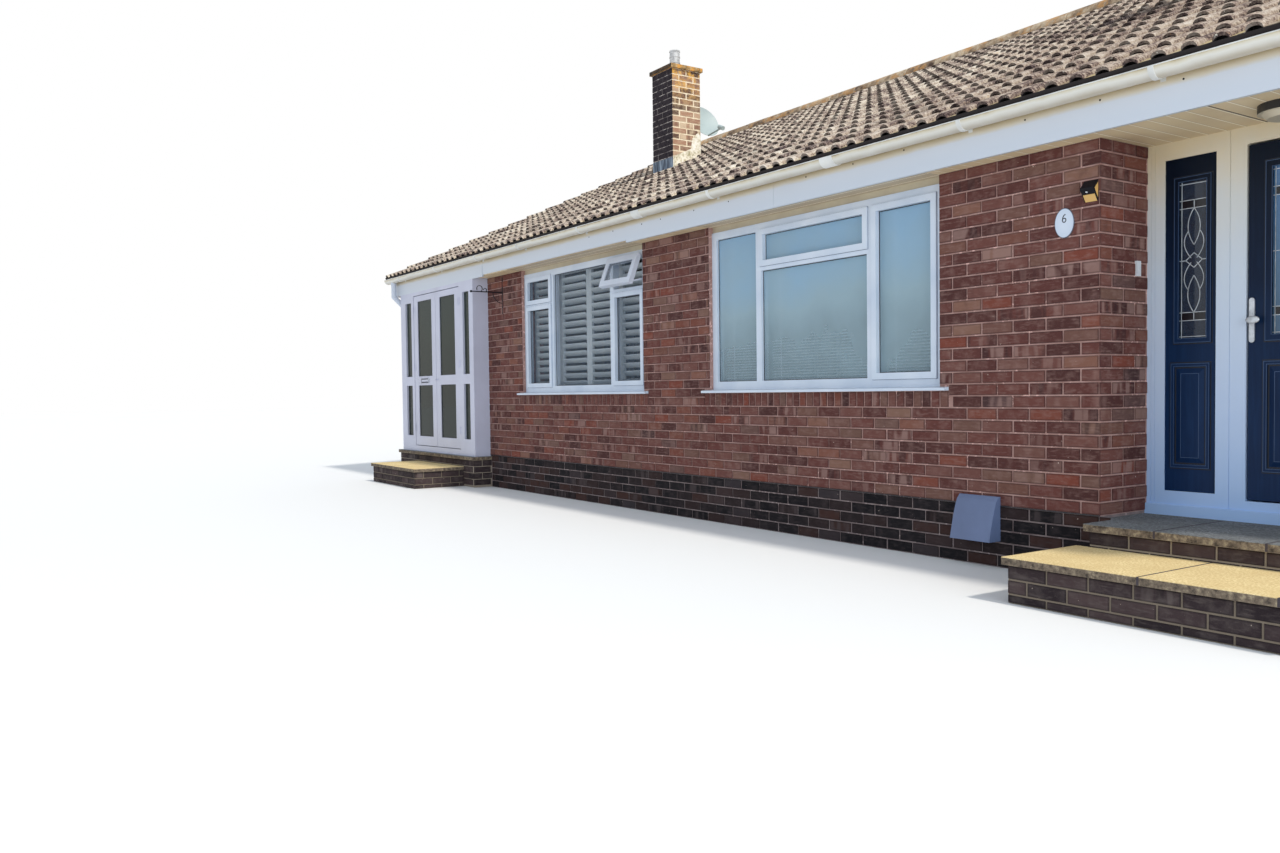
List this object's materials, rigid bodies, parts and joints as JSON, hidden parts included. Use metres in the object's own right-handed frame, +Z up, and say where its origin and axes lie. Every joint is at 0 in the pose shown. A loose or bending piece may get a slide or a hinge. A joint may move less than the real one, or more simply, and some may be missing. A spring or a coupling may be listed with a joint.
{
  "type": "semi-detached bungalow pair",
  "caption": "Single-storey brick bungalow pair under one gabled tile roof, with a recessed entrance, a glazed porch with French doors, wide front windows and brick chimneys.",
  "frame": {"origin": "on the ground, on the line between the two dwellings, in the plane of the front wall face", "axes": "+X to the right along the front as seen from outside, +Y into the building, +Z up"},
  "size_m": [12.92, 11.39, 5.558],
  "materials": {
    "brickwork": "stretcher-bonded red-brown bricks with grey mortar",
    "plinth_brick": "dark dense bricks with pale mortar",
    "concrete": "cast concrete",
    "timber": "sawn softwood rafters and battens",
    "roof_tile": "weathered interlocking concrete tiles with lichen",
    "white_board": "satin white board",
    "cream_board": "cream gloss paint on boards",
    "white_rainwater": "white plastic, lightly soiled",
    "flue_metal": "dull grey metal",
    "lead": "weathered sheet lead",
    "white_frame": "smooth white plastic profile",
    "glass": "clear sealed units",
    "blind": "pale enamelled slats",
    "shutter_white": "white painted timber",
    "navy_paint": "smooth dark blue door skin",
    "handle_metal": "polished metal",
    "paving": "yellow riven slabs on brick risers",
    "black_metal": "black coated steel",
    "black_plastic": "black plastic",
    "plate_white": "glazed white oval",
    "bell_white": "white plastic",
    "grey_plastic": "blue-grey plastic"
  },
  "bodies": {
    "house": {"plinth": "plinth_brick", "floor_slab": "concrete", "front_pier_left": "brickwork", "front_pier_middle": "brickwork", "front_pier_right": "brickwork", "end_piers": "brickwork", "sill_walls": "brickwork", "gable_wall_left": "brickwork", "gable_wall_right": "brickwork", "rear_wall": "brickwork", "eaves_beams": "concrete", "rafters_front": "timber", "rafters_rear": "timber", "roof_front": "roof_tile", "roof_rear": "roof_tile", "ridge_tiles": "roof_tile", "verge_boards": "white_board", "fascias": "white_board", "soffits": "cream_board", "gutters": "white_rainwater", "gutter_brackets": "white_rainwater", "downpipes": "white_rainwater", "chimney_stacks": "brickwork", "chimney_caps": "concrete", "flue_terminals": "flue_metal", "chimney_flashings": "lead", "satellite_dish": "flue_metal", "window_frame_left": "white_frame", "window_frame_right": "white_frame", "open_vent": "white_frame", "window_glass": "glass", "window_sills": "white_frame", "blinds": "blind", "shutters": "shutter_white", "small_window_frames": "white_frame", "small_window_glass": "glass", "rear_doors": "white_frame", "entrance_frame": "white_frame", "side_panel": "navy_paint", "side_panel_glass": "glass", "inner_screen": "white_frame", "porch_frame": "white_frame", "porch_side_glass": "glass", "door_hinges": "white_frame", "landings": "paving", "lower_steps": "paving", "wall_light": "black_plastic", "number_plate": "plate_white", "doorbell": "bell_white", "vent_cover": "grey_plastic", "ceiling_light": "black_plastic", "basket_bracket": "black_metal"},
    "front_door": {"front_door": "navy_paint", "front_door_glass": "glass", "front_door_handle": "handle_metal"},
    "porch_door_left": {"porch_door_left": "white_frame", "porch_glass_left": "glass"},
    "porch_door_right": {"porch_door_right": "white_frame", "porch_glass_right": "glass"}
  },
  "joints": [
    {"name": "front_door_hinge", "type": "hinge", "parent": "house", "child": "front_door", "pos_m": [5.463, 0.52, 0.48], "axis": [0, 0, -1], "range_deg": [0, 90]},
    {"name": "porch_left_hinge", "type": "hinge", "parent": "house", "child": "porch_door_left", "pos_m": [-5.694, -0.204, 0.44], "axis": [0, 0, -1], "range_deg": [0, 90]},
    {"name": "porch_right_hinge", "type": "hinge", "parent": "house", "child": "porch_door_right", "pos_m": [-4.226, -0.204, 0.44], "axis": [0, 0, 1], "range_deg": [0, 90]}
  ]
}
